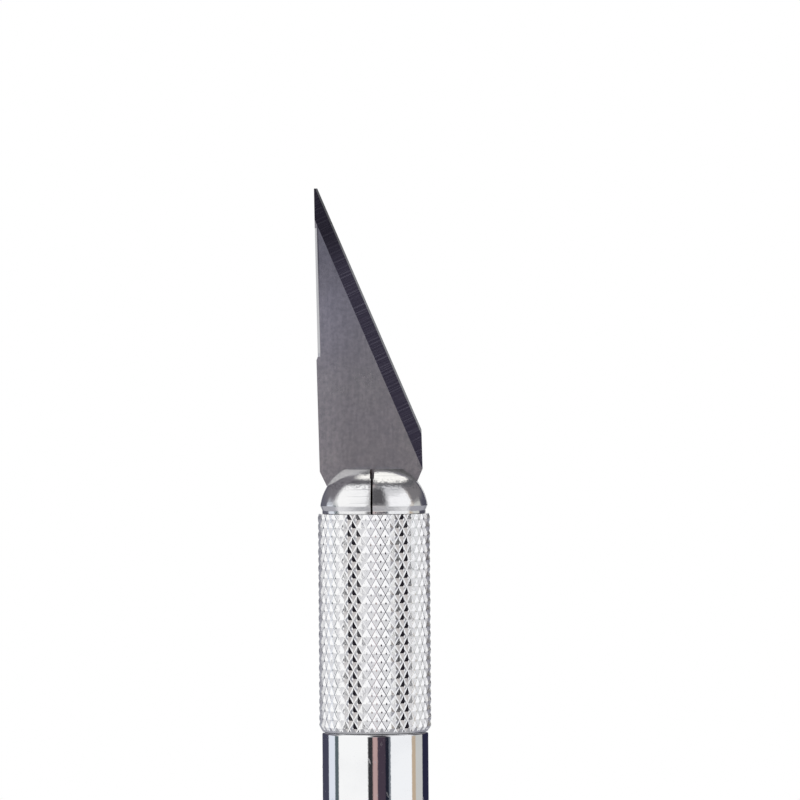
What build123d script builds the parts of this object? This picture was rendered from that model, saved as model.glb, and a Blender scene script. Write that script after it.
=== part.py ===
"""Hobby craft knife: a fine-point blade gripped by a four-jaw collet, which a knurled collar closes.

The collet's threaded tail screws into the handle barrel. Turning the collar, collet and blade
together draws the collet's tapered head into the mouth of the collar, and that squeezes the jaws
on the blade's tang. Turned back, the head comes out, the jaws open and the blade pulls out forwards.

Millimetres. The origin is the centre of the barrel's tail face, +Z points along the handle to the
blade's tip, the blade lies in the XZ plane, and its cutting edge is on the +X side.
"""

import math
import os

from build123d import *

# Handle barrel: a solid bar with a pilot spigot and a tapped hole at the front
barrel_dia = 8.0
barrel_length = 100.0  # tail face to front shoulder
tail_radius = 1.2
shoulder_chamfer = 0.2
spigot_length = 3.0
spigot_clearance = 0.03  # radial, spigot in the collar's bore
thread_dia = 4.0
thread_clearance = 0.05  # radial, collet tail in the tapped hole
thread_lead_in = 0.3
tap_run_out = 2.7  # tapped hole left below the collet's tail
drill_point_angle = 118.0  # included

# Knurled collar
collar_dia = 8.4  # over the crests of the knurl
collar_length = 16.25
collar_bore_dia = 5.9
mouth_dia = 7.4
seat_half_angle = 35.0  # of the tapered mouth, from the axis
knurl_width = 0.733  # from one diamond to the next, around the collar
knurl_pitch = 1.25  # and along the axis
knurl_depth = 0.14
thrust_clearance = 0.03  # axial, collar to the barrel's shoulder

# Collet
head_dia = 8.06
head_height = 2.66  # rim to the flat nose
nose_dia = 4.5  # of the flat
dome_radius = 3.75  # of the arc from the rim to the nose
undercut_height = 0.36  # slope from the rim down to the neck
undercut_depth = 0.17  # radial
neck_height = 0.21
face_gap = 0.1  # underside of the neck to the collar's face, tightened
seat_clearance = 0.03  # axial, taper in the mouth, tightened
shank_dia = 5.6
draw_travel = 0.7  # one turn of the thread
thread_length = 9.0
thread_relief_dia = 3.3
thread_relief_length = 1.0
clamp_slot_width = 0.155
clamp_slot_nose_width = 0.31
clamp_slot_nose_depth = 0.67
tang_end_clearance = 0.4  # axial, end of the blade's tang to the floor of both saw cuts

# Blade
blade_thickness = 0.5
body_width = 7.7
edge_angle = 21.7  # cutting edge to spine
heel_height = 6.2  # lower end of the cutting edge, above the collar's face
shoulder_height = 3.25  # start of the tapered shoulders, above the collar's face
shoulder_angle = 24.5  # from the blade's length
tang_width = 5.2
tang_end_depth = 10.2  # below the collar's face
tang_corner = 0.6
tang_hole_width = 1.5
tang_hole_length = 4.5
tang_hole_depth = 5.2  # centre, below the collar's face
tip_flat = 0.25
spine_step_height = 11.85  # above the collar's face
spine_step_length = 0.25
spine_relief = 0.1  # set-back of the spine at the step
spine_tip_relief = 0.18  # and at the tip
spine_bevel_width = 0.2
spine_bevel_depth = 0.13
grind_width = 1.1
honed_width = 0.14
honed_depth = 0.05  # half thickness where the honed edge starts
blade_play = 0.03  # each side of the blade in its slot
blade_offset = -0.1  # body centre from the handle's axis, towards the spine
blade_lean = 1.3  # degrees, tip towards the spine side, within the play of the tang in the bore

# Stations along the axis, and values that several pieces share
collar_base = barrel_length + thrust_clearance
collar_face = collar_base + collar_length
bore_radius = collar_bore_dia / 2
mouth_radius = mouth_dia / 2
seat_slope = math.tan(math.radians(seat_half_angle))  # radius gained for each unit of height
spigot_top = barrel_length + spigot_length
shank_end = spigot_top + draw_travel
slot_floor = collar_face - tang_end_depth - tang_end_clearance
tail_end = shank_end - thread_length
neck_top = collar_face + face_gap + neck_height
rim = neck_top + undercut_height
nose = rim + head_height
over = 1.0  # how far a cutting tool's sketch runs past the stock


def half_revolve(points, mode=Mode.ADD):
    """Turns a closed outline of (radius, height) points about the handle's axis."""
    with BuildSketch(Plane.XZ) as outline:
        with BuildLine():
            Polyline(*points, close=True)
        make_face()
    revolve(outline.sketch, axis=Axis.Z, mode=mode)


# Barrel
tapped_radius = thread_dia / 2 + thread_clearance
tapped_floor = tail_end - tap_run_out
drill_point = tapped_radius / math.tan(math.radians(drill_point_angle / 2))

with BuildPart() as barrel:
    with BuildSketch():
        Circle(barrel_dia / 2)
    extrude(amount=barrel_length)
    fillet(barrel.edges().group_by(Axis.Z)[0], radius=tail_radius)
    chamfer(barrel.edges().group_by(Axis.Z)[-1], length=shoulder_chamfer)
    with BuildSketch(Plane.XY.offset(barrel_length)):
        Circle(bore_radius - spigot_clearance)
    extrude(amount=spigot_length)
    chamfer(barrel.edges().group_by(Axis.Z)[-1], length=shoulder_chamfer)
    half_revolve(
        [
            (0, tapped_floor - drill_point),
            (tapped_radius, tapped_floor),
            (tapped_radius, spigot_top - thread_lead_in),
            (tapped_radius + thread_lead_in, spigot_top),
            (tapped_radius + thread_lead_in, spigot_top + over),
            (0, spigot_top + over),
        ],
        mode=Mode.SUBTRACT,
    )
barrel.part.label = "barrel"

# Collar: the diamond knurl is a lattice of points that are groove crossings and crests by turns
crest_radius = collar_dia / 2
root_radius = crest_radius - knurl_depth
knurl_rows = 2 * round(collar_length / knurl_pitch)
row_height = collar_length / knurl_rows
knurl_columns = 2 * round(math.pi * collar_dia / knurl_width)


def knurl_point(column, row):
    """A lattice point of the knurl. The tail end's row is all at the root, which chamfers that end."""
    is_crest = (column + row) % 2 == 1 and row > 0
    radius = crest_radius if is_crest else root_radius
    angle = 360 / knurl_columns * column
    return Vector(radius, 0, collar_base + row * row_height).rotate(Axis.Z, angle)


def knurl_facets(column, row):
    """The two flanks in one cell of the lattice, split along its groove."""
    a = knurl_point(column, row)
    b = knurl_point(column + 1, row)
    c = knurl_point(column + 1, row + 1)
    d = knurl_point(column, row + 1)
    corners = ((a, b, c), (a, c, d)) if (column + row) % 2 == 0 else ((a, b, d), (b, c, d))
    return [Face(Wire.make_polygon(triangle)) for triangle in corners]


def knurled_bar():
    """A solid bar with the collar's knurl all round it and a flat face at each end."""
    faces = []
    for row in range(knurl_rows):
        for column in range(knurl_columns):
            faces += knurl_facets(column, row)
    for row in (0, knurl_rows):
        ring = [knurl_point(column, row) for column in range(knurl_columns)]
        faces.append(Face(Wire.make_polygon(ring)))
    return Solid(Shell(faces))


with BuildPart() as collar:
    add(knurled_bar())
    half_revolve(
        [
            (0, collar_base - over),
            (bore_radius, collar_base - over),
            (bore_radius, collar_face - (mouth_radius - bore_radius) / seat_slope),
            (mouth_radius, collar_face),
            (mouth_radius, collar_face + over),
            (0, collar_face + over),
        ],
        mode=Mode.SUBTRACT,
    )
    with BuildSketch(Plane.XY.offset(collar_base)):
        Circle(bore_radius + shoulder_chamfer)
    extrude(amount=shoulder_chamfer, taper=math.degrees(math.atan(1)), mode=Mode.SUBTRACT)
collar.part.label = "collar"

# Collet: domed head, taper, shank and threaded tail, sawn crosswise into four jaws
rim_radius = head_dia / 2
neck_radius = rim_radius - undercut_depth
shank_radius = shank_dia / 2
seat_top = collar_face + face_gap
taper_top_radius = mouth_radius + (face_gap - seat_clearance) * seat_slope
taper_end = seat_top - (taper_top_radius - shank_radius) / seat_slope
relief_radius = thread_relief_dia / 2
blade_slot_width = blade_thickness + 2 * blade_play

with BuildPart() as collet:
    with BuildSketch(Plane.XZ):
        with BuildLine():
            dome = RadiusArc((rim_radius, rim), (nose_dia / 2, nose), -dome_radius)
            Polyline(dome @ 1, (0, nose), (0, tail_end), (thread_dia / 2 - thread_lead_in, tail_end))
            Polyline(
                (thread_dia / 2 - thread_lead_in, tail_end),
                (thread_dia / 2, tail_end + thread_lead_in),
                (thread_dia / 2, shank_end - thread_relief_length),
                (relief_radius, shank_end - thread_relief_length),
                (relief_radius, shank_end),
                (shank_radius, shank_end),
                (shank_radius, taper_end),
                (taper_top_radius, seat_top),
                (neck_radius, seat_top),
                (neck_radius, neck_top),
                dome @ 0,
            )
        make_face()
    revolve(axis=Axis.Z)
    with BuildSketch(Plane.XY.offset(nose)):
        Rectangle(head_dia + over, blade_slot_width)
        Rectangle(clamp_slot_width, head_dia + over)
    extrude(amount=slot_floor - nose, mode=Mode.SUBTRACT)
    with BuildSketch(Plane.XY.offset(nose)):
        Rectangle(clamp_slot_nose_width, head_dia + over)
    extrude(amount=-clamp_slot_nose_depth, mode=Mode.SUBTRACT)
collet.part.label = "collet"

# Blade: its sketch plane is the handle's axis plane at the collar's face, leaned by blade_lean
lean = math.radians(blade_lean)
blade_plane = Plane(
    origin=(0, 0, collar_face),
    x_dir=(math.cos(lean), 0, math.sin(lean)),
    z_dir=(0, -1, 0),
)
half_body = body_width / 2
half_tang = tang_width / 2
half_thickness = blade_thickness / 2
spine = blade_offset - half_body
heel = blade_offset + half_body
edge = math.radians(edge_angle)
spine_tip = spine + spine_tip_relief
tip_height = heel_height + (heel - spine_tip - tip_flat) / math.tan(edge)
shoulder_drop = (half_body - half_tang) / math.tan(math.radians(shoulder_angle))
tang_top = shoulder_height - shoulder_drop
spine_bevel_end = tip_height - grind_width / math.sin(edge)


def grinding_plane(start, along, inward):
    """A plane square to an edge of the blade that runs along from start, x pointing into the blade."""
    here = blade_plane.from_local_coords(Vector(*start, 0))
    direction = blade_plane.from_local_coords(Vector(*start, 0) + Vector(*along, 0)) - here
    into = blade_plane.from_local_coords(Vector(*start, 0) + Vector(*inward, 0)) - here
    return Plane(origin=here, x_dir=into, z_dir=direction)


def grind(plane, length, profile):
    """Grinds both faces of the blade: profile lists (distance inward, half thickness) up to the face."""
    for side in (1, -1):
        with BuildSketch(plane) as waste:
            with BuildLine():
                Polyline(
                    *[(inward, side * depth) for inward, depth in profile],
                    (profile[-1][0], side * over),
                    (profile[0][0], side * over),
                    close=True,
                )
            make_face()
        extrude(waste.sketch, amount=length, mode=Mode.SUBTRACT)


edge_along = (-math.sin(edge), math.cos(edge))
edge_inward = (-math.cos(edge), -math.sin(edge))
run_out = grind_width / math.sin(edge) + over
grind_start = (heel - run_out * edge_along[0], heel_height - run_out * edge_along[1])
edge_length = (tip_height - heel_height) / math.cos(edge)
stock = 0.5  # left outside the cutting edge for the grinds to remove

with BuildPart() as blade:
    with BuildSketch(blade_plane):
        with BuildLine():
            Polyline(
                (blade_offset - half_tang, tang_top),
                (spine, shoulder_height),
                (spine, spine_step_height - spine_step_length),
                (spine + spine_relief, spine_step_height),
                (spine_tip, tip_height),
                (spine_tip + tip_flat + stock, tip_height),
                (heel, heel_height + stock),
                (heel, shoulder_height),
                (blade_offset + half_tang, tang_top),
                (blade_offset + half_tang, tang_corner - tang_end_depth),
                (blade_offset + half_tang - tang_corner, -tang_end_depth),
                (blade_offset - half_tang + tang_corner, -tang_end_depth),
                (blade_offset - half_tang, tang_corner - tang_end_depth),
                close=True,
            )
        make_face()
        with Locations((blade_offset, -tang_hole_depth)):
            SlotOverall(tang_hole_length, tang_hole_width, rotation=90, mode=Mode.SUBTRACT)
    extrude(amount=half_thickness, both=True)
    grind(
        grinding_plane(grind_start, edge_along, edge_inward),
        run_out + edge_length + over,
        [
            (-over, -over * honed_depth / honed_width),
            (honed_width, honed_depth),
            (grind_width, half_thickness),
        ],
    )
    grind(
        grinding_plane((spine + spine_relief, spine_step_height), (0, 1), (1, 0)),
        spine_bevel_end - spine_step_height,
        [
            (-over, half_thickness - spine_bevel_depth * (1 + over / spine_bevel_width)),
            (spine_bevel_width, half_thickness),
        ],
    )
blade.part.label = "blade"

os.makedirs("parts", exist_ok=True)
export_step(barrel.part, "parts/barrel.step")
export_step(collar.part, "parts/collar.step")
export_step(collet.part, "parts/collet.step")
export_step(blade.part, "parts/blade.step")
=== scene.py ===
# %% [markdown]
# # A hobby craft knife
#
# The knife has four pieces. A solid handle barrel carries a knurled collar and, screwed into its
# front end, a collet. The collet is a domed head sawn crosswise into four jaws, and it grips a thin
# steel blade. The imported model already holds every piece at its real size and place. This script
# dresses them: it turns, threads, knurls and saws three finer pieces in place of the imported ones,
# because a mirror finish would show their facets. It gives each piece its metal, and sets up a
# small white studio.

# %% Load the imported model
import math

import bmesh
import bpy
from mathutils import Matrix, Vector, noise


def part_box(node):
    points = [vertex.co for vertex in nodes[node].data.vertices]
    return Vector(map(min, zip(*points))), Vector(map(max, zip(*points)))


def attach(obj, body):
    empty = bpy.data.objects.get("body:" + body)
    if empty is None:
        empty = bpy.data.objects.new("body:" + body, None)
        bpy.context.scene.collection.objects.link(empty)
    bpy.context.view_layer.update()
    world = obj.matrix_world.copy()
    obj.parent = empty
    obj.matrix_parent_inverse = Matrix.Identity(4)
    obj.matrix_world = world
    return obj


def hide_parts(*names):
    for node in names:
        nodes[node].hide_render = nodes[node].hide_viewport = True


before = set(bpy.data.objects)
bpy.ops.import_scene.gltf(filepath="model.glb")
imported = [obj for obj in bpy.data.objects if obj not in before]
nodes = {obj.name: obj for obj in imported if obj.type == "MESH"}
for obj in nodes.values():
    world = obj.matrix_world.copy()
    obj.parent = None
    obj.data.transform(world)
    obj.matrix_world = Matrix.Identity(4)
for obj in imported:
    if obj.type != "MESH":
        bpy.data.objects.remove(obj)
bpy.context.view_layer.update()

mm = 0.001
print("nodes:", sorted(nodes))

# %% [markdown]
# ## Where the camera stands
#
# A knife this small is looked at from a third of a metre away, through a long lens. A short lens
# from close by would frame it too, but the sides of the handle would run together. The camera is
# level, at the height of the blade, and the handle runs out of the bottom of the view. The knife is
# turned a little about its axis, and the camera is rolled by less than half a degree, because
# nobody stands a knife perfectly upright.

# %% Camera
camera_distance = 352 * mm
camera_azimuth = math.radians(2.1)
camera_roll = math.radians(-0.4)
camera_side_step = 2.016 * mm
camera_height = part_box("collar")[1].z + 8.49 * mm  # above the collar's face
focal_length = 211.5  # in millimetres, as lenses are marked
film_width = 36

right = Vector((math.cos(camera_azimuth), math.sin(camera_azimuth), 0))
toward_knife = Vector((-math.sin(camera_azimuth), math.cos(camera_azimuth), 0))
camera_data = bpy.data.cameras.new("camera")
camera_data.lens = focal_length
camera_data.sensor_width = film_width
camera_data.clip_start = 10 * mm
camera = bpy.data.objects.new("camera", camera_data)
camera.location = right * camera_side_step - toward_knife * camera_distance
camera.location.z = camera_height
camera.rotation_mode = "QUATERNION"
upright = toward_knife.to_track_quat("-Z", "Y")
camera.rotation_quaternion = upright @ Matrix.Rotation(camera_roll, 4, "Z").to_quaternion()
bpy.context.scene.collection.objects.link(camera)
bpy.context.scene.camera = camera
bpy.context.scene.view_settings.view_transform = "Standard"
print("camera at", [round(x, 4) for x in camera.location])

# %% [markdown]
# ## The studio
#
# Polished metal has no colour of its own to show: it shows the room. This room is a white tent with
# two large soft boxes, left and right of the camera, black cards that draw the dark lines down the
# handle, and the dim room behind the camera, which the flat of the blade reflects. It could be
# built from lamps and cards, but a world shader says the same thing in two tables of directions,
# and it renders without noise. Each row of the first table is a panel that stands from floor to
# roof: the bearing where it starts, in degrees from the camera to the right, and its colour.

# %% The panels round the knife
studio_panels = [
    (-180.0, (1.0, 1.0, 1.0)),  # backdrop
    (-165.0, (0.060, 0.060, 0.095)),  # black card, left
    (-121.0, (0.76, 0.80, 0.88)),  # edge of the tent
    (-98.0, (0.10, 0.13, 0.145)),  # stand of the left soft box
    (-86.7, (0.98, 0.98, 0.98)),  # left soft box
    (-15.9, (0.032, 0.032, 0.036)),  # its black rim
    (-5.6, (0.50, 0.34, 0.33)),  # a sleeve beside the camera
    (4.4, (0.060, 0.044, 0.064)),  # dark room
    (21.5, (0.014, 0.016, 0.028)),  # its darkest corner
    (28.8, (0.16, 0.18, 0.21)),  # rim of the right soft box
    (33.0, (0.93, 0.94, 0.96)),  # right soft box
    (85.5, (0.52, 0.41, 0.30)),  # wooden edge of the table
    (97.0, (0.58, 0.58, 0.56)),  # edge of the tent
    (122.0, (0.022, 0.022, 0.05)),  # black card, right
    (163.0, (1.0, 1.0, 1.0)),  # backdrop
]
print("panels:", len(studio_panels))

# %% [markdown]
# ### What hangs in front of the panels
#
# The dome and the knurl look up and down as well, so the room also needs things that end at some
# height. Each row of the second table is such a patch: its colour, the bearings and the heights
# between which it lies, how soft its ends are, all in degrees, and the horizon that its heights
# start from. That is the level one, or for the sloping roof of the tent one that leans back as the
# roof does. A later patch covers an earlier one. Planes hung round the knife could do the same, but
# a row of a table is moved by one number.

# %% The patches of the room
level = 0.0
sloping = math.radians(22.7)
patches = [
    ((0.40, 0.395, 0.45), (-15.2, 6.6), (-3, 8), 0.7, level),  # pale wall behind the camera
    ((1.02, 1.02, 1.02), (-103, 6), (12, 62), 7, level),  # the left soft box, above its stand
    ((1.0, 1.0, 1.02), (6, 93), (11, 62), 3, level),  # the right soft box
    ((0.66, 0.66, 0.68), (20, 110), (36, 62), 6, level),  # its dimmer top
    ((0.014, 0.012, 0.018), (-10.5, 31), (12, 62), 9, level),  # dark room above the camera
    ((0.13, 0.12, 0.13), (93, 155), (13, 62), 5, level),  # dark wall, right
    ((0.60, 0.64, 0.64), (84, 107), (-3.4, 9), 0.7, level),  # tent above the wooden edge
    ((0.74, 0.74, 0.76), (-181, 181), (-40, -20), 4, level),  # pale table top
    ((0.32, 0.32, 0.36), (92, 165), (-40, -10), 4, level),  # its shaded end, right
    ((0.36, 0.36, 0.40), (-165, -97), (-40, -10), 4, level),  # and left
    ((0.37, 0.37, 0.39), (-181, 181), (-91, -38), 4, level),  # the same, close to the knife
    ((0.58, 0.555, 0.55), (-12, 28), (-39, -8), 3, level),  # somebody's lap
    ((0.04, 0.038, 0.05), (-172, 8), (45, 60), 2, sloping),  # roof of the tent, left
    ((0.06, 0.06, 0.07), (8, 176), (41.5, 50.5), 1.5, sloping),  # and right
    ((1.12, 1.10, 1.05), (-181, 181), (60, 91), 2, sloping),  # window in the roof
    ((1.12, 1.10, 1.05), (8, 181), (50.5, 91), 1.5, sloping),  # it reaches lower on the right
    ((0.11, 0.10, 0.12), (-168, -96), (12, 66), 9, level),  # dark wall, left
]
print("patches:", len(patches))

# %% [markdown]
# ### Shader trees from a script
#
# A shader tree is a set of nodes and the links between them. The editor shows boxes and wires, and
# a script has to name both. A few helpers keep that short: one adds a node and sets or links its
# inputs, and the others are steps that the world and every material repeat.

# %% Helpers for shader trees
def wire(tree, kind, inputs=None, **settings):
    """Adds a node of that kind. Inputs are plain values or the output sockets that feed them."""
    node = tree.nodes.new("ShaderNode" + kind)
    for key, value in settings.items():
        setattr(node, key, value)
    for key, value in (inputs or {}).items():
        if isinstance(value, bpy.types.NodeSocket):
            tree.links.new(value, node.inputs[key])
        else:
            node.inputs[key].default_value = value
    return node


def math_node(tree, operation, a, b=0.0, c=0.0):
    """One step of arithmetic."""
    return wire(tree, "Math", {0: a, 1: b, 2: c}, operation=operation).outputs[0]


def between(tree, value, start, end):
    """0 on the side of start, 1 on the side of end, smooth in between. Either may be the larger."""
    limits = {"Value": value, "From Min": start, "From Max": end}
    return wire(tree, "MapRange", limits, interpolation_type="SMOOTHSTEP").outputs["Result"]


def opaque(colour):
    """A colour with full alpha."""
    return (*colour, 1.0)


def blend_colours(tree, factor, a, b):
    """Colour a where factor is 0 and colour b where it is 1."""
    node = wire(tree, "Mix", data_type="RGBA")
    for identifier, value in (("Factor_Float", factor), ("A_Color", a), ("B_Color", b)):
        target = next(socket for socket in node.inputs if socket.identifier == identifier)
        if isinstance(value, bpy.types.NodeSocket):
            tree.links.new(value, target)
        else:
            target.default_value = opaque(value)
    return next(socket for socket in node.outputs if socket.identifier == "Result_Color")


# %% The bearing of a ray
world = bpy.data.worlds.new("studio")
bpy.context.scene.world = world
world.use_nodes = True
tree = world.node_tree
tree.nodes.clear()
ray = wire(tree, "TexCoord").outputs["Generated"]
to_camera = {"Vector": ray, "Angle": -camera_azimuth}
turned_ray = wire(tree, "VectorRotate", to_camera, rotation_type="Z_AXIS").outputs[0]
direction = wire(tree, "SeparateXYZ", {0: turned_ray}).outputs
backward = math_node(tree, "MULTIPLY", direction["Y"], -1.0)
bearing = math_node(tree, "ARCTAN2", direction["X"], backward)
print("nodes that find the bearing:", len(tree.nodes))

# %% The panels become a colour ramp
panel_softness = 0.0016  # share of a turn over which one panel gives way to the next

turned_by = wire(tree, "MapRange", {"Value": bearing, "From Min": -math.pi, "From Max": math.pi})
panels = wire(tree, "ValToRGB", {"Fac": turned_by.outputs["Result"]})
stops = []
for (_, old_colour), (start, colour) in zip(studio_panels, studio_panels[1:]):
    place = (start + 180) / 360
    stops += [(place - panel_softness, old_colour), (place + panel_softness, colour)]
ramp = panels.color_ramp
ramp.interpolation = "LINEAR"
while len(ramp.elements) > 1:
    ramp.elements.remove(ramp.elements[-1])
ramp.elements[0].position = stops[0][0]
ramp.elements[0].color = opaque(stops[0][1])
for place, colour in stops[1:]:
    ramp.elements.new(place).color = opaque(colour)
print("stops on the ramp:", len(ramp.elements))

# %% The patches cover the panels
def window(value, limits, softness):
    """1 between two limits and 0 outside them. The value is in radians, the rest in degrees."""
    low, high = (math.radians(limit) for limit in limits)
    soft = math.radians(softness)
    entered = between(tree, value, low - soft, low + soft)
    not_left = between(tree, value, high + soft, high - soft)
    return math_node(tree, "MULTIPLY", entered, not_left)


def reach_along(tree, vector, direction):
    """How far a vector reaches in a direction."""
    both = {0: vector, 1: direction}
    return wire(tree, "VectorMath", both, operation="DOT_PRODUCT").outputs["Value"]


height_above = {}
for horizon in (level, sloping):
    upward = (0, math.sin(horizon), math.cos(horizon))
    height_above[horizon] = math_node(tree, "ARCSINE", reach_along(tree, turned_ray, upward))
sky = panels.outputs["Color"]
for colour, bearings, heights, softness, horizon in patches:
    across = window(bearing, bearings, softness)
    upwards = window(height_above[horizon], heights, softness)
    sky = blend_colours(tree, math_node(tree, "MULTIPLY", across, upwards), sky, colour)
print("world nodes:", len(tree.nodes))

# %% The metal sees the room, and the camera sees white
white = (1.0, 1.0, 1.0)
seen = wire(tree, "LightPath").outputs["Is Camera Ray"]
studio_colour = blend_colours(tree, seen, sky, white)
light = wire(tree, "Background", {"Color": studio_colour, "Strength": 1.0})
wire(tree, "OutputWorld", {"Surface": light.outputs[0]})
print("world:", world.name)

# %% [markdown]
# ## The floor
#
# The knife stands on its tail on a small pale floor. A wide sheet of white paper would be the usual
# way, but a polished handle mirrors it, and white metal on white paper vanishes. Only the shadow
# matters, so the floor is a small disc that glows: a little under the knife, which paints a soft pool
# of shade round its foot, and by just enough to be white at its rim, where it meets the white
# backdrop. It glows only for rays that look at it, directly or by way of the metal.

# %% The disc
floor_radius = 13 * mm
floor_sides = 96

disc = bmesh.new()
bmesh.ops.create_circle(disc, cap_ends=True, segments=floor_sides, radius=floor_radius)
floor_data = bpy.data.meshes.new("floor")
disc.to_mesh(floor_data)
disc.free()
floor = bpy.data.objects.new("floor", floor_data)
bpy.context.scene.collection.objects.link(floor)
print("floor radius (mm):", round(floor_radius / mm, 1))

# %% Paper that glows
# the weaker glow in the middle is a painted pool of shade under the knife
painted_shade_glow = 0.15
rim_glow = 0.55
paper_colour = (0.8, 0.8, 0.8)


def length(tree, vector):
    """How long a vector is."""
    return wire(tree, "VectorMath", {0: vector}, operation="LENGTH").outputs["Value"]


def mix_value(tree, factor, low, high):
    """low where factor is 0 and high where it is 1."""
    return wire(tree, "MapRange", {"Value": factor, "To Min": low, "To Max": high}).outputs["Result"]


floor_paper = bpy.data.materials.new("floor_paper")
floor_paper.use_nodes = True
tree = floor_paper.node_tree
tree.nodes.clear()
rays = wire(tree, "LightPath").outputs
direct = math_node(tree, "MAXIMUM", rays["Is Camera Ray"], rays["Is Transmission Ray"])
looking = math_node(tree, "MAXIMUM", direct, rays["Is Glossy Ray"])
from_middle = length(tree, wire(tree, "TexCoord").outputs["Object"])
outward = between(tree, from_middle, 0.2 * floor_radius, floor_radius)
brightness = math_node(tree, "MULTIPLY", looking, mix_value(tree, outward, painted_shade_glow, rim_glow))
paper = wire(tree, "BsdfDiffuse", {"Color": opaque(paper_colour)})
glow = wire(tree, "Emission", {"Strength": brightness})
both = wire(tree, "AddShader", {0: paper.outputs[0], 1: glow.outputs[0]})
wire(tree, "OutputMaterial", {"Surface": both.outputs[0]})
floor_data.materials.append(floor_paper)
print("floor nodes:", len(tree.nodes))

# %% [markdown]
# ## Turning on the lathe
#
# Three of the four pieces are turned from round aluminium bar. In Blender, as on a lathe, such a
# piece starts as half of its outline. Small rounded corners are bevelled into that line, and one
# spin round the axis makes the solid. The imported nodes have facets, which a mirror finish would
# show, so each turned piece is made again here with many more steps and smooth shading.

# %% The lathe
axis = {"cent": (0, 0, 0), "axis": (0, 0, 1)}
lathe_steps = 288


def turn(outline, closed=False):
    """Turns an outline of (radius, height, rounding) corners about the knife's axis."""
    piece = bmesh.new()
    points = [piece.verts.new((radius, 0, height)) for radius, height, rounding in outline]
    for here, there in zip(points, points[1:]):
        piece.edges.new((here, there))
    if closed:
        piece.edges.new((points[-1], points[0]))
    for point, (_, _, rounding) in zip(points, outline):
        if rounding:
            corner = {"geom": [point], "offset": rounding, "segments": 6, "profile": 0.5}
            bmesh.ops.bevel(piece, affect="VERTICES", material=-1, **corner)
    line = piece.verts[:] + piece.edges[:]
    bmesh.ops.spin(piece, geom=line, angle=math.tau, steps=lathe_steps, use_merge=True, **axis)
    bmesh.ops.remove_doubles(piece, verts=piece.verts, dist=0.0001 * mm)
    bmesh.ops.recalc_face_normals(piece, faces=piece.faces)
    return piece


# %% [markdown]
# ### Cutting and fitting
#
# A hole, a slot or a thread is what a tool takes away. The Boolean modifier does the same with two
# closed meshes: the piece without the tool, or only what both share. Where two cuts meet it can
# leave points a hair apart, so those are merged. The finished piece then takes the place of its
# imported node, with smooth shading that stops at the real corners.

# %% Cut a piece with a tool
hair = 0.0002 * mm


def as_object(piece, name):
    """Puts a bmesh into the scene as an object."""
    data = bpy.data.meshes.new(name)
    piece.to_mesh(data)
    piece.free()
    obj = bpy.data.objects.new(name, data)
    bpy.context.scene.collection.objects.link(obj)
    return obj


def cut(piece, tool, operation="DIFFERENCE"):
    """What is left of a piece after a tool has cut it, or the part that both share (INTERSECT)."""
    blank = as_object(piece, "blank")
    cutter = as_object(tool, "cutter")
    step = blank.modifiers.new("cut", "BOOLEAN")
    step.operation = operation
    step.solver = "EXACT"
    step.object = cutter
    result = bmesh.new()
    result.from_object(blank, bpy.context.evaluated_depsgraph_get())
    bpy.data.objects.remove(blank)
    bpy.data.objects.remove(cutter)
    bmesh.ops.remove_doubles(result, verts=result.verts, dist=hair)
    bmesh.ops.dissolve_degenerate(result, edges=result.edges, dist=hair)
    return result


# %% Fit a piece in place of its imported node
corner_angle = math.radians(22)  # a sharper turn between two faces is a real corner


def fit(piece, name, node, body):
    """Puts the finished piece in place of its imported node, on the body that carries it."""
    obj = as_object(piece, name)
    obj.data.shade_smooth()
    obj.data.set_sharp_from_angle(angle=corner_angle)
    shading = obj.modifiers.new("long faces stay straight", "WEIGHTED_NORMAL")
    shading.keep_sharp = True
    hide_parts(node)
    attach(obj, body)
    print(name, len(obj.data.polygons), "faces")
    return obj


# %% [markdown]
# ### Screw threads
#
# A thread is one groove that climbs by its pitch with every turn. A screw modifier could sweep it,
# but so can the spin that turns the pieces, when it also lifts the section a little at each step.
# The groove is made as a solid of its own, wide at the wall and narrow at the root, and is then cut
# away: inwards from the collet's tail, and outwards from the wall of the hole that it screws into.

# %% The groove of a thread
thread_pitch = 0.7 * mm
thread_steps = 40  # for each turn
half_mouth = 0.44 * thread_pitch  # of a groove, at the wall
half_root = 0.1 * thread_pitch
overlap = 0.03 * mm  # past the wall, so that the two surfaces don't coincide


def thread_cutter(wall, root, low, high):
    """The groove of a thread, from the wall that it is cut into down to its root."""
    past_wall = wall + math.copysign(overlap, wall - root)
    mouth = [(past_wall, -half_mouth), (past_wall, half_mouth)]
    profile = mouth + [(root, half_root), (root, -half_root)]
    groove = bmesh.new()
    groove.faces.new([groove.verts.new((radius, 0, low + rise)) for radius, rise in profile])
    turns = (high - low) / thread_pitch
    steps = round(turns * thread_steps)
    section = groove.faces[:] + groove.edges[:] + groove.verts[:]
    climb = {"angle": math.tau * turns, "steps": steps, "dvec": (0, 0, (high - low) / steps)}
    bmesh.ops.spin(groove, geom=section, use_duplicate=False, **climb, **axis)
    bmesh.ops.recalc_face_normals(groove, faces=groove.faces)
    open_edges = sum(edge.is_boundary for edge in groove.edges)
    print("thread of", round(turns, 1), "turns, open edges:", open_edges)
    return groove


# %% [markdown]
# ## The handle barrel
#
# The handle is a solid bar. Its tail has a rounded edge, and its front has a short spigot that the
# collar turns on, with a tapped hole for the collet. It could be cylinders joined and subtracted,
# but a single outline holds every diameter, as a turner's drawing does. With the collar on, only
# the smooth outside shows, but the whole barrel is here, because the collet can come out.

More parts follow.
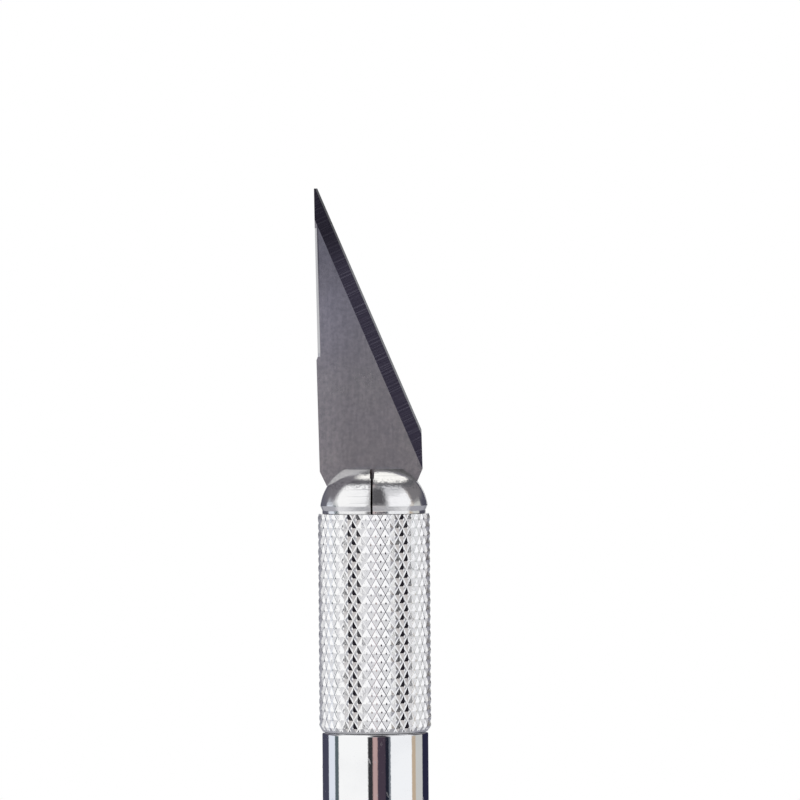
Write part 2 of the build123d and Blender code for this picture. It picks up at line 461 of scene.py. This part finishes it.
# %% The barrel's sizes
barrel_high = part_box("barrel")[1]
barrel_radius = barrel_high.x
spigot_top = barrel_high.z
spigot_length = 3 * mm
spigot_radius = 2.92 * mm
shoulder = spigot_top - spigot_length
tail_rounding = 1.2 * mm
broken_edge = 0.2 * mm  # small chamfers
hole_radius = 2.05 * mm
hole_floor = spigot_top - 11 * mm
lead_in = 0.3 * mm
drill_point = hole_radius / math.tan(math.radians(118 / 2))  # the usual angle of a drill's point
print("barrel length (mm):", round(shoulder / mm, 2))

# %% Turn and tap the barrel
barrel_outline = [
    (0, 0, 0),
    (barrel_radius, 0, tail_rounding),
    (barrel_radius, shoulder, broken_edge),
    (spigot_radius, shoulder, 0),
    (spigot_radius, spigot_top, broken_edge),
    (hole_radius + lead_in, spigot_top, 0),
    (hole_radius, spigot_top - lead_in, 0),
    (hole_radius, hole_floor, 0),
    (0, hole_floor - drill_point, 0),
]
thread_depth = 0.3 * mm
tap_floor = hole_floor + 1 * mm  # a tap doesn't reach the floor of its hole
tap = thread_cutter(hole_radius, hole_radius + thread_depth, tap_floor, spigot_top + 0.6 * mm)
barrel = fit(cut(turn(barrel_outline), tap), "turned_barrel", "barrel", "handle")

# %% [markdown]
# ## The knurled collar
#
# Two rollers press crossing grooves into the collar and leave a net of small pyramids. A bump
# pattern would be cheaper, but the crests show in the collar's outline, so they are real. A net of
# diamonds is only a square grid turned by 45 degrees and stretched, so the knurl starts as a flat
# sheet: every diamond gets an inset, which is the floor of the groove, and a second inset that
# rises, which leaves four flanks and the small flat where the rollers didn't reach. The sheet is
# then wrapped round the bar, and a turned sleeve trims it: what both share is the collar, with its
# bore, its tapered mouth and its chamfers.

# %% The knurl's sizes
collar_low, collar_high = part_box("collar")
collar_face = collar_high.z
crest_radius = collar_high.x
knurl_starts = 36  # diamonds round the collar
knurl_rows = 13  # whole ones along it
knurl_depth = 0.133 * mm
groove_floor = 0.045 * mm  # width of the flat floor of a groove
flank_width = 0.235 * mm  # from the groove's floor to the small flat at the top
root_radius = crest_radius - knurl_depth
diamond_width = math.tau * crest_radius / knurl_starts
diamond_height = 1.24 * mm
sheet_width = knurl_starts * diamond_width
sheet_height = (knurl_rows + 2) * diamond_height  # a row more than needed at each end
print("diamond (mm):", round(diamond_width / mm, 3), "by", round(diamond_height / mm, 3))

# %% A flat sheet of diamonds
knurl = bmesh.new()
spare_rows = 3  # so that the turned grid covers the sheet's corners
net = knurl_starts + knurl_rows + spare_rows
eighth_turn = Matrix.Rotation(math.radians(45), 3, "Z")
bmesh.ops.create_grid(knurl, x_segments=net, y_segments=net, size=net / 2)
bmesh.ops.rotate(knurl, verts=knurl.verts, cent=(0, 0, 0), matrix=eighth_turn)
stretch = (diamond_width / math.sqrt(2), diamond_height / math.sqrt(2), 1)
bmesh.ops.scale(knurl, verts=knurl.verts, vec=stretch)
diamonds = knurl.faces[:]
bmesh.ops.inset_individual(knurl, faces=diamonds, thickness=groove_floor / 2, use_even_offset=True)
flank = {"thickness": flank_width, "depth": knurl_depth, "use_even_offset": True}
bmesh.ops.inset_individual(knurl, faces=diamonds, **flank)
half_width = Vector((sheet_width / 2, 0, 0))
half_height = Vector((0, sheet_height / 2, 0))
for edge_of_sheet in (half_width, -half_width, half_height, -half_height):
    everything = knurl.verts[:] + knurl.edges[:] + knurl.faces[:]
    trim = {"plane_co": edge_of_sheet, "plane_no": edge_of_sheet, "clear_outer": True}
    bmesh.ops.bisect_plane(knurl, geom=everything, dist=0.0001 * mm, **trim)
print("sheet of knurl:", len(knurl.faces), "faces")

# %% [markdown]
# ### Wrapping the sheet
#
# A bend modifier could wrap the sheet, but placing each point by its angle is exact, so that both
# ends meet and can be merged. Rollers don't press evenly, and a knurl without any unevenness looks
# like a printed pattern. So each point is also pressed in by up to 0.02 mm, by a noise that is read
# at the point's wrapped place and is therefore the same at both ends.

# %% Wrap the sheet round the bar
knurl_phase = math.radians(-0.93)  # where the sheet's middle comes to lie, round the bar
knurl_rise = 0.314 * mm  # and along it, above the collar's middle
uneven = 0.02 * mm
uneven_size = 0.5 * mm

middle = (collar_face + collar_low.z) / 2
for point in knurl.verts:
    angle = point.co.x / sheet_width * math.tau + knurl_phase
    out_here = Vector((math.sin(angle), -math.cos(angle), 0))
    radius = root_radius + point.co.z
    point.co = out_here * radius + Vector((0, 0, middle + knurl_rise + point.co.y))
    pressed_in = uneven * (0.5 + 0.5 * noise.noise(point.co / uneven_size))
    point.co -= pressed_in * out_here
bmesh.ops.remove_doubles(knurl, verts=knurl.verts, dist=0.001 * mm)
bmesh.ops.holes_fill(knurl, edges=[edge for edge in knurl.edges if edge.is_boundary], sides=0)
bmesh.ops.recalc_face_normals(knurl, faces=knurl.faces)
print("open edges left:", sum(edge.is_boundary for edge in knurl.edges))

# %% Trim it to the collar
bore_radius = 2.95 * mm
mouth_radius = 3.7 * mm
seat_slope = math.tan(math.radians(35))  # radius gained for each unit of height
bore_end = collar_face - (mouth_radius - bore_radius) / seat_slope
proud = crest_radius + 0.1 * mm
tail_chamfer = 0.42 * mm  # long
tail_chamfer_depth = 0.21 * mm
front_chamfer = 0.04 * mm
sleeve_outline = [
    (bore_radius + broken_edge, collar_low.z, 0),
    (crest_radius - tail_chamfer_depth, collar_low.z, 0),
    (crest_radius, collar_low.z + tail_chamfer, 0),
    (proud, collar_low.z + 1.5 * tail_chamfer, 0),
    (proud, collar_face - front_chamfer - (proud - crest_radius), 0),
    (crest_radius - front_chamfer, collar_face, 0),
    (mouth_radius, collar_face, 0),
    (bore_radius, bore_end, 0),
    (bore_radius, collar_low.z + broken_edge, 0),
]
sleeve = turn(sleeve_outline, closed=True)
collar = fit(cut(knurl, sleeve, "INTERSECT"), "knurled_collar", "collar", "collar")

# %% [markdown]
# ## The collet
#
# The collet is turned from one bar: a domed head, a taper that seats in the collar's mouth, a shank
# and a threaded tail. Two saw cuts then cross it lengthwise and leave four jaws. The wide cut takes
# the blade, and the narrow one, opened a little at the nose, lets the jaws close.
#
# The dome is one arc from its rim to the flat nose. An ellipse or a free curve would do too, but a
# form tool cuts an arc, and the arc's centre follows from its radius and its two ends.

# %% The dome's outline
collet_low, collet_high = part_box("collet")
nose = collet_high.z
nose_radius = 2.25 * mm
head_radius = 4.03 * mm
head_height = 2.71 * mm
rim_top = nose - head_height
rim_rounding = 0.03 * mm
dome_radius = 3.75 * mm
dome_steps = 24

half_chord = Vector((nose_radius - head_radius, 0, head_height)) / 2
to_centre = Vector((-half_chord.z, 0, half_chord.x)).normalized()
from_chord = math.sqrt(dome_radius**2 - half_chord.length_squared)
dome_centre = Vector((head_radius, 0, rim_top)) + half_chord + to_centre * from_chord
first = math.atan2(rim_top - dome_centre.z, head_radius - dome_centre.x)
last = math.atan2(nose - dome_centre.z, nose_radius - dome_centre.x)
dome = []
for step in range(dome_steps + 1):
    angle = first + (last - first) * step / dome_steps
    radius = dome_centre.x + dome_radius * math.cos(angle)
    height = dome_centre.z + dome_radius * math.sin(angle)
    dome.append((radius, height, 0 if step else rim_rounding))
print("dome centre (mm):", [round(x / mm, 3) for x in dome_centre])

# %% Turn the collet and cut its thread
undercut_height = 0.37 * mm
neck_height = 0.235 * mm
neck_top = rim_top - undercut_height
seat_top = neck_top - neck_height
neck_radius = 3.88 * mm
shank_radius = 2.8 * mm
taper_radius = 3.707 * mm
taper_end = seat_top - (taper_radius - shank_radius) / seat_slope
thread_radius = 2 * mm
thread_end = collet_low.z + 9 * mm
relief_radius = 1.65 * mm
relief_length = 1 * mm
collet_outline = [
    (0, collet_low.z, 0),
    (thread_radius, collet_low.z, lead_in),
    (thread_radius, thread_end - relief_length, 0),
    (relief_radius, thread_end - relief_length, 0),
    (relief_radius, thread_end, 0),
    (shank_radius, thread_end, 0.1 * mm),
    (shank_radius, taper_end, 0),
    (taper_radius, seat_top, 0),
    (neck_radius, seat_top, 0.03 * mm),
    (neck_radius, neck_top, 0.04 * mm),
    *dome,
    (0, nose, 0),
]
die = thread_cutter(thread_radius, relief_radius, collet_low.z - 0.6 * mm, thread_end - 0.5 * mm)
collet_blank = cut(turn(collet_outline), die)
print("collet blank:", len(collet_blank.faces), "faces")

# %% Saw it into four jaws
blade_cut_width = 0.56 * mm
clamp_cut_width = 0.155 * mm
clamp_mouth_width = 0.31 * mm
clamp_mouth_depth = 0.67 * mm
saw_floor = collar_face - 10.6 * mm
clear = nose + 1 * mm
right_through = 9 * mm


def saw_cut(width, low):
    """A box as wide as a saw cut, from its floor out past the nose, centred on the knife's axis."""
    box = bmesh.new()
    bmesh.ops.create_cube(box, size=1)
    bmesh.ops.scale(box, verts=box.verts, vec=(right_through, width, clear - low))
    bmesh.ops.translate(box, verts=box.verts, vec=(0, 0, (low + clear) / 2))
    return box


blade_cut = saw_cut(blade_cut_width, saw_floor)
clamp_cut = saw_cut(clamp_cut_width, saw_floor)
clamp_mouth = saw_cut(clamp_mouth_width, nose - clamp_mouth_depth)
quarter_turn = Matrix.Rotation(math.radians(90), 3, "Z")
for crossing in (clamp_cut, clamp_mouth):
    bmesh.ops.rotate(crossing, verts=crossing.verts, cent=(0, 0, 0), matrix=quarter_turn)
jaws = cut(cut(cut(collet_blank, blade_cut), clamp_cut), clamp_mouth)
jaws.normal_update()
print("jaws:", len(jaws.faces), "faces")

# %% Give the sawn walls a slot of their own
squarely = 0.99  # how straight across a cut its walls face
sawn = 0
for face in jaws.faces:
    centre = face.calc_center_median()
    in_clamp_cut = abs(face.normal.x) > squarely and abs(centre.x) < clamp_mouth_width
    in_blade_cut = abs(face.normal.y) > squarely and abs(centre.y) < blade_cut_width
    if in_clamp_cut or in_blade_cut:
        face.material_index = 1
        sawn += 1
print("sawn faces:", sawn)
collet = fit(jaws, "four_jaw_collet", "collet", "chuck")

# %% [markdown]
# ## Metal finishes
#
# All four pieces are bare metal, and what tells them apart is how they were worked: buffed, knurled,
# turned or ground. Two marks are shared, so each is a node group that is built once: the fine rings
# that a lathe tool leaves, and the short scratches and hazy patches of use. Both are worked out from
# Object coordinates in millimetres, so they stay at their real size and stay on the piece when it
# moves.

# %% Helpers for patterns
def scaled(tree, vector, factor):
    """A vector or a colour times one factor."""
    return wire(tree, "VectorMath", {0: vector, "Scale": factor}, operation="SCALE").outputs["Vector"]


def stretched(tree, vector, factors):
    """A vector with a factor of its own for X, Y and Z."""
    return wire(tree, "VectorMath", {0: vector, 1: factors}, operation="MULTIPLY").outputs["Vector"]


def clouds(tree, place, per_mm, detail, roughness=0.5):
    """Noise in all directions, between 0 and 1."""
    look = {"Vector": place, "Scale": per_mm, "Detail": detail, "Roughness": roughness}
    return wire(tree, "TexNoise", look).outputs["Fac"]


def stripes(tree, value, per_mm, detail):
    """Noise along one value only, between 0 and 1."""
    look = {"W": value, "Scale": per_mm, "Detail": detail}
    return wire(tree, "TexNoise", look, noise_dimensions="1D").outputs["Fac"]


def in_millimetres(tree):
    """Object coordinates in millimetres, as a vector and as separate X, Y and Z."""
    place = scaled(tree, wire(tree, "TexCoord").outputs["Object"], 1 / mm)
    return place, wire(tree, "SeparateXYZ", {0: place}).outputs


def from_axis(tree, parts):
    """Distance of a point from the knife's axis."""
    return length(tree, wire(tree, "CombineXYZ", {"X": parts["X"], "Y": parts["Y"]}).outputs[0])


# %% Helpers for shared effects
def effect(name, inputs, outputs):
    """A new shader node group: its tree, the sockets that feed it and the sockets that leave it."""
    group = bpy.data.node_groups.new(name, "ShaderNodeTree")
    for label, value in inputs.items():
        socket = group.interface.new_socket(label, in_out="INPUT", socket_type="NodeSocketFloat")
        socket.default_value = value
    for label in outputs:
        group.interface.new_socket(label, in_out="OUTPUT", socket_type="NodeSocketFloat")
    start = group.nodes.new("NodeGroupInput")
    end = group.nodes.new("NodeGroupOutput")
    return group, start.outputs, end.inputs


def use(tree, group, **values):
    """Places a shared effect in a material, with its own values."""
    node = wire(tree, "Group")
    node.node_tree = group
    for label, value in values.items():
        node.inputs[label.replace("_", " ")].default_value = value
    return node.outputs


# %% Lathe rings
tree, given, result = effect("lathe rings", {"Rings per mm": 6.0, "Waver": 0.1}, ["Height"])
lathe_rings = tree
place, parts = in_millimetres(tree)
along = math_node(tree, "SUBTRACT", parts["Z"], from_axis(tree, parts))
wavering = math_node(tree, "MULTIPLY_ADD", clouds(tree, place, 0.6, 1.0), given["Waver"], along)
counted = math_node(tree, "MULTIPLY", wavering, given["Rings per mm"])
tree.links.new(stripes(tree, counted, 1.0, 2.0), result["Height"])
print("lathe rings:", len(tree.nodes), "nodes")

# %% Wear: scratches and haze
defaults = {"Scratches": 0.5, "Lean": 0.3, "Per mm": 1.0}
tree, given, result = effect("wear", defaults, ["Scratch", "Haze"])
wear = tree
place, _ = in_millimetres(tree)
lean = {"Vector": place, "Angle": given["Lean"]}
leaning = wire(tree, "VectorRotate", lean, rotation_type="Y_AXIS").outputs[0]
across = wire(tree, "SeparateXYZ", {0: leaning}).outputs["X"]
contour = stripes(tree, math_node(tree, "MULTIPLY", across, given["Per mm"]), 1.0, 3.0)
off_line = math_node(tree, "ABSOLUTE", math_node(tree, "SUBTRACT", contour, 0.5))
line = between(tree, off_line, 0.02, 0.0)
worn_places = between(tree, clouds(tree, place, 1.1, 2.0), 0.58, 0.68)
shown = math_node(tree, "MULTIPLY", worn_places, given["Scratches"])
tree.links.new(math_node(tree, "MULTIPLY", line, shown), result["Scratch"])
haze = clouds(tree, place, 0.25, 4.0, 0.6)
tree.links.new(between(tree, haze, 0.35, 0.7), result["Haze"])
print("wear:", len(tree.nodes), "nodes")

# %% A bare metal
def metal_tree(name):
    """A new material and its empty tree."""
    material = bpy.data.materials.new(name)
    material.use_nodes = True
    material.node_tree.nodes.clear()
    return material, material.node_tree


def as_metal(tree, colour, roughness, relief, depth, metallic=1.0):
    """Ends a tree in a metal shader. The relief lies between 0 and 1, and its depth is in metres."""
    bump = wire(tree, "Bump", {"Height": relief, "Distance": depth, "Strength": 1.0}).outputs[0]
    look = {"Base Color": colour, "Roughness": roughness, "Metallic": metallic, "Normal": bump}
    shader = wire(tree, "BsdfPrincipled", look)
    wire(tree, "OutputMaterial", {"Surface": shader.outputs[0]})
    print("metal nodes:", len(tree.nodes))


# %% [markdown]
# ### Buffed aluminium
#
# The barrel is buffed to a mirror, so its own colour hardly shows: only the room does. What keeps it
# from looking like a computer's mirror is a trace of the lathe's rings, a little haze where fingers
# were, and a few short scratches.

# %% Barrel finish
buffed, tree = metal_tree("buffed_aluminium")
place, _ = in_millimetres(tree)
marks = use(tree, wear, Scratches=1.0, Lean=0.35, Per_mm=3.0)
rings = use(tree, lathe_rings, Rings_per_mm=5.0, Waver=0.0)
clean = (0.94, 0.945, 0.95)
hazed = (0.90, 0.905, 0.915)
colour = blend_colours(tree, marks["Haze"], clean, hazed)
sheen = mix_value(tree, marks["Haze"], 0.03, 0.05)
roughness = math_node(tree, "MULTIPLY_ADD", marks["Scratch"], 0.25, sheen)
relief = math_node(tree, "MULTIPLY_ADD", rings["Height"], 0.02, clouds(tree, place, 6.0, 3.0))
as_metal(tree, colour, roughness, relief, 0.0012 * mm)
barrel.data.materials.append(buffed)

# %% [markdown]
# ### Knurled aluminium
#
# A knurl is pressed, not cut: its flanks come out bright and slightly rough, with darker places
# where the rollers dragged and tore the metal, and handling dulls the points a little. How far up a
# flank a point lies could be painted on, but its distance from the axis says the same.

# %% Collar finish
pressed, tree = metal_tree("pressed_aluminium")
place, parts = in_millimetres(tree)
bright_groove = (0.96, 0.96, 0.965)
handled_point = (0.93, 0.93, 0.93)
torn_metal = (0.50, 0.50, 0.53)
up_the_flank = between(tree, from_axis(tree, parts), root_radius / mm, crest_radius / mm)
clean = blend_colours(tree, up_the_flank, bright_groove, handled_point)
drag = clouds(tree, stretched(tree, place, (1.0, 1.0, 0.4)), 5.0, 4.0, 0.7)
colour = blend_colours(tree, between(tree, drag, 0.56, 0.70), clean, torn_metal)
grain = clouds(tree, place, 9.0, 4.0)
as_metal(tree, colour, mix_value(tree, grain, 0.05, 0.13), grain, 0.006 * mm)
collar.data.materials.append(pressed)

# %% [markdown]
# ### Turned aluminium
#
# The collet is left as it came off the lathe. Fine rings run round its dome and spread the light a
# little. Soft aluminium also tears under the tool, so a few rings are scored. A band of dark specks
# below the nose is painted reflection: it stands in for the dark band of the room that the dome
# reflects.

# %% Tool marks, and a painted dark band on the dome
turned, tree = metal_tree("turned_aluminium")
place, parts = in_millimetres(tree)
marks = use(tree, wear, Scratches=0.4, Lean=1.2, Per_mm=3.0)
feed = use(tree, lathe_rings, Rings_per_mm=4.0, Waver=0.25)
scored = math_node(tree, "MULTIPLY", between(tree, feed["Height"], 0.60, 0.68), marks["Haze"])
# a band below the nose, darkened in specks: a painted reflection of the room's dark band
dark_band_bottom = between(tree, parts["Z"], nose / mm - 1.7, nose / mm - 1.25)
dark_band_top = between(tree, parts["Z"], nose / mm - 0.55, nose / mm - 1.0)
painted_dark_band = math_node(tree, "MULTIPLY", dark_band_bottom, dark_band_top)
speck_noise = between(tree, clouds(tree, place, 7.0, 2.0), 0.50, 0.60)
painted_band_specks = math_node(tree, "MULTIPLY", speck_noise, mix_value(tree, painted_dark_band, 0.06, 0.75))
scores_and_painted_band = math_node(tree, "MAXIMUM", scored, painted_band_specks)
print("nodes for the tool's marks:", len(tree.nodes))

# %% Collet finish
clean = (0.95, 0.95, 0.95)
hazed = (0.89, 0.89, 0.90)
scored_and_band_dark = (0.50, 0.50, 0.52)
# darker where rings are scored, and in the painted dark band below the nose
colour = blend_colours(tree, scores_and_painted_band, blend_colours(tree, marks["Haze"], clean, hazed), scored_and_band_dark)
roughness = mix_value(tree, marks["Haze"], 0.10, 0.14)
rings = use(tree, lathe_rings, Rings_per_mm=12.0, Waver=0.15)
relief = math_node(tree, "MULTIPLY_ADD", rings["Height"], 0.3, clouds(tree, place, 7.0, 2.0))
as_metal(tree, colour, roughness, relief, 0.006 * mm, metallic=0.86)
collet.data.materials.append(turned)

# %% [markdown]
# ### Sawn aluminium, painted dark
#
# The walls of the saw cuts are rough and lie in deep shade. A shadow alone wouldn't do it, because
# bright walls light each other, so the cuts have a slot of their own, painted a dark, shaded brown.

# %% Painted shade inside the saw cuts
saw_cut_shade, tree = metal_tree("sawn_aluminium_painted_shade")
place, _ = in_millimetres(tree)
# dark brown painted into the saw cuts as their shade
deep_shade = (0.10, 0.055, 0.045)
paler_shade = (0.22, 0.15, 0.13)
saw_marks = clouds(tree, stretched(tree, place, (1.0, 1.0, 6.0)), 2.0, 3.0)
colour = blend_colours(tree, saw_marks, deep_shade, paler_shade)
as_metal(tree, colour, mix_value(tree, saw_marks, 0.5, 0.8), saw_marks, 0.02 * mm)
collet.data.materials.append(saw_cut_shade)

# %% [markdown]
# ### Ground steel
#
# The blade is stamped from hard strip steel, then ground. Its flats keep the grain of the rolled
# strip, which runs lengthwise. The main grind is darker, with fine hatch marks where the wheel
# crossed it square to the edge, and the honed edge is a thin bright line. A narrow bevel runs along
# the spine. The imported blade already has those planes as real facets, so it keeps its own mesh and
# only gets a finish. Its zones are found from how far a point lies from the heel: in from the
# cutting edge, on along it, and across the blade to the spine.

# %% Where the zones of the blade are
edge_angle = math.radians(21.7)
blade_lean = math.radians(1.3)
heel = (3.75, 6.2)  # lower end of the cutting edge, from the axis and above the collar's face
edge_length = 17.0  # as far as its colours change along it
grind_width = 1.1
honed_width = 0.14
body_width = 7.7
bevel_width = 0.335  # from the spine's line to the flat
spine_step = 5.7  # above the heel

heel_x = heel[0] * math.cos(blade_lean) - heel[1] * math.sin(blade_lean)
heel_z = heel[0] * math.sin(blade_lean) + heel[1] * math.cos(blade_lean) + collar_face / mm
along_edge = (-math.sin(edge_angle + blade_lean), 0, math.cos(edge_angle + blade_lean))
into_blade = (-along_edge[2], 0, along_edge[0])
across_blade = (math.cos(blade_lean), 0, math.sin(blade_lean))
print("heel at", round(heel_x, 3), round(heel_z, 3), "mm")

# %% Distances on the blade
ground, tree = metal_tree("ground_steel")
place, _ = in_millimetres(tree)
to_here = {0: place, 1: (heel_x, 0, heel_z)}
from_heel = wire(tree, "VectorMath", to_here, operation="SUBTRACT").outputs["Vector"]
inward = reach_along(tree, from_heel, into_blade)
onward = reach_along(tree, from_heel, along_edge)
from_spine = math_node(tree, "ADD", reach_along(tree, from_heel, across_blade), body_width)
above_heel = wire(tree, "SeparateXYZ", {0: from_heel}).outputs["Z"]
print("nodes for the distances:", len(tree.nodes))

# %% Zones of the blade
soft = 0.01  # half the width over which one zone gives way to the next
in_grind = between(tree, inward, grind_width + 2 * soft, grind_width - 2 * soft)
in_hone = between(tree, inward, honed_width + soft, honed_width - soft)
past_step = between(tree, above_heel, spine_step, spine_step + 0.1)
at_spine = between(tree, from_spine, bevel_width + soft, bevel_width - soft)
on_bevel = math_node(tree, "MULTIPLY", at_spine, past_step)
# the step beside the bevel is painted as a dark line of shadow
step_width = bevel_width + 0.08  # a fine step in shadow, beside the bevel
up_to_step = between(tree, from_spine, step_width + soft, step_width - soft)
on_step_shadow = math_node(tree, "MULTIPLY", up_to_step, between(tree, above_heel, 9.0, 13.5))
print("nodes with the zones:", len(tree.nodes))

# %% [markdown]
# ### Hatch and grain
#
# The wheel's hatch is noise along the edge only, so that every mark runs square to it, with a slight
# tilt and a strength that comes and goes. The flats get two noises: one drawn out lengthwise for the
# grain of the strip, and a fine mottle over it. Wave textures would be simpler, but their lines are
# too regular for a grinding wheel.

# %% Hatch of the wheel and grain of the strip
tilted = math_node(tree, "MULTIPLY_ADD", inward, 0.04, onward)
full_hatch = between(tree, stripes(tree, tilted, 7.0, 4.0), 0.42, 0.70)
hatch_strength = mix_value(tree, clouds(tree, place, 0.9, 2.0), 0.1, 0.9)
hatch = math_node(tree, "MULTIPLY", full_hatch, hatch_strength)
strip_grain = clouds(tree, stretched(tree, place, (1.0, 1.0, 0.12)), 6.0, 6.0)
mottle = clouds(tree, place, 3.0, 5.0, 0.75)
grained = math_node(tree, "MULTIPLY_ADD", strip_grain, 0.3, math_node(tree, "MULTIPLY", mottle, 0.7))
tone = between(tree, grained, 0.34, 0.66)
print("nodes with the grain:", len(tree.nodes))

# %% [markdown]
# ### Light and shade on the blade
#
# A real blade is never quite flat, so its flats are a little lighter near the spine and darker near
# the tip, and the ground edge darkens in the same way. Bending the thin steel by a hair would do it
# too, but it would no longer lie in its slot, so the shade goes into the colour.

# %% Colours of the flats
dark_low = (0.34, 0.34, 0.35)
pale_low = (0.47, 0.455, 0.46)
dark_high = (0.31, 0.315, 0.37)
pale_high = (0.43, 0.43, 0.50)
low_flat = blend_colours(tree, tone, dark_low, pale_low)
high_flat = blend_colours(tree, tone, dark_high, pale_high)
flat_colour = blend_colours(tree, between(tree, onward, 0.0, edge_length), low_flat, high_flat)
near_spine = between(tree, from_spine, 2.6, 0.4)
toward_tip = between(tree, onward, 10.5, 14.5)
lighter = math_node(tree, "MULTIPLY_ADD", near_spine, 0.18, 1.0)
flat_shade = math_node(tree, "MULTIPLY", lighter, mix_value(tree, toward_tip, 1.0, 0.72))
shaded_flat = scaled(tree, flat_colour, flat_shade)
print("nodes with the flats:", len(tree.nodes))

# %% Colours of the ground edge
dark_grind = (0.145, 0.132, 0.200)
pale_grind = (0.36, 0.345, 0.44)
honed_colour = (0.33, 0.335, 0.345)
edge_shade = mix_value(tree, between(tree, onward, 12.5, 16.5), 1.0, 0.5)
shaded_grind = scaled(tree, blend_colours(tree, hatch, dark_grind, pale_grind), edge_shade)
shaded_hone = scaled(tree, honed_colour, edge_shade)
print("nodes with the edge:", len(tree.nodes))

# %% Blade finish
# a dark line painted beside the bevel, as the shadow of its step
step_shadow_colour = (0.06, 0.06, 0.08)
bevel_colour = (0.53, 0.53, 0.55)
steel = blend_colours(tree, math_node(tree, "MULTIPLY", on_step_shadow, 0.6), shaded_flat, step_shadow_colour)
steel = blend_colours(tree, on_bevel, steel, bevel_colour)
steel = blend_colours(tree, in_grind, steel, shaded_grind)
steel = blend_colours(tree, in_hone, steel, shaded_hone)
marks = use(tree, wear, Scratches=0.5, Lean=0.1, Per_mm=2.0)
flat_sheen = mix_value(tree, marks["Haze"], 0.20, 0.28)
grind_sheen = mix_value(tree, hatch, 0.25, 0.30)
roughness = mix_value(tree, in_grind, flat_sheen, grind_sheen)
relief = mix_value(tree, in_grind, mottle, hatch)
as_metal(tree, steel, roughness, relief, 0.002 * mm)
blade = nodes["blade"]
for slot in range(len(blade.data.materials)):
    blade.data.materials[slot] = ground
print("blade slots:", len(blade.data.materials))
